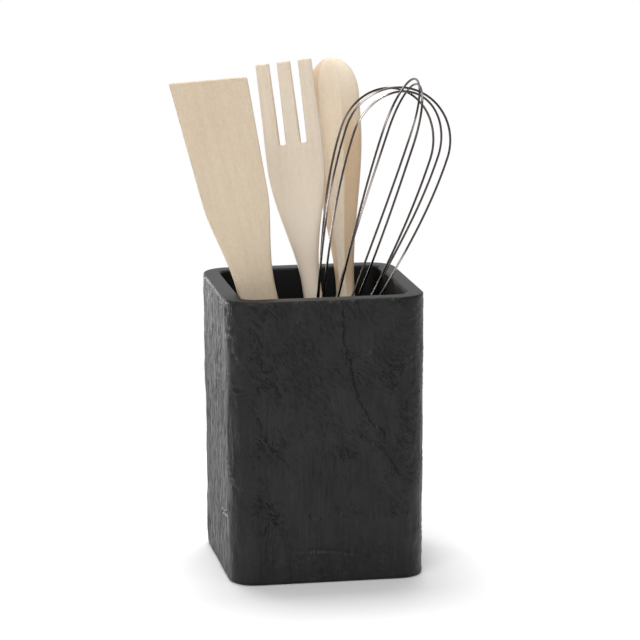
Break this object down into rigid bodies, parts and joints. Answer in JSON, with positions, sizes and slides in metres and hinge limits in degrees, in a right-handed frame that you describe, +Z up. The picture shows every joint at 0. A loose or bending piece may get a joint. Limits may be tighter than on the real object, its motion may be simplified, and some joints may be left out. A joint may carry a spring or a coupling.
{
  "type": "utensil holder",
  "caption": "Square slate-look utensil holder with rounded corners, holding a wooden spatula, fork and spoon and a wire balloon whisk, each of which lifts out.",
  "frame": {"origin": "centre of the base pad's underside, on the table", "axes": "+Z up, -Y out of the front face, +X to the right seen from the front"},
  "size_m": [0.1527, 0.1258, 0.2624],
  "materials": {
    "slate_resin": "near-black cast resin with a split-slate relief outside and a smooth satin rim and inside",
    "pad_foam": "matt black foam",
    "spatula_wood": "bare pale beech, fine grain",
    "fork_wood": "bare pale beech, fine grain",
    "spoon_wood": "bare pale beech, fine grain",
    "handle_steel": "satin stainless tube",
    "plug_plastic": "black potting compound",
    "wire_steel": "polished stainless wire"
  },
  "bodies": {
    "holder": {"holder_body": "slate_resin", "base_pad": "pad_foam"},
    "spatula": {"wooden_spatula": "spatula_wood"},
    "fork": {"wooden_fork": "fork_wood"},
    "spoon": {"wooden_spoon": "spoon_wood"},
    "whisk": {"whisk_handle": "handle_steel", "whisk_end_cap": "handle_steel", "whisk_wire_plug": "plug_plastic", "whisk_wire_1": "wire_steel", "whisk_wire_2": "wire_steel", "whisk_wire_3": "wire_steel", "whisk_wire_4": "wire_steel", "whisk_wire_5": "wire_steel"}
  },
  "joints": [
    {"name": "spatula_lift", "type": "slide", "parent": "holder", "child": "spatula", "axis": [-0.1908, 0, 0.9816], "range_m": [0, 0.16]},
    {"name": "fork_lift", "type": "slide", "parent": "holder", "child": "fork", "axis": [-0.1027, 0.1174, 0.9878], "range_m": [0, 0.16]},
    {"name": "spoon_lift", "type": "slide", "parent": "holder", "child": "spoon", "axis": [-0.0067, 0.288, 0.9576], "range_m": [0, 0.16]},
    {"name": "whisk_lift", "type": "slide", "parent": "holder", "child": "whisk", "axis": [0.3199, 0, 0.9475], "range_m": [0, 0.16]}
  ]
}
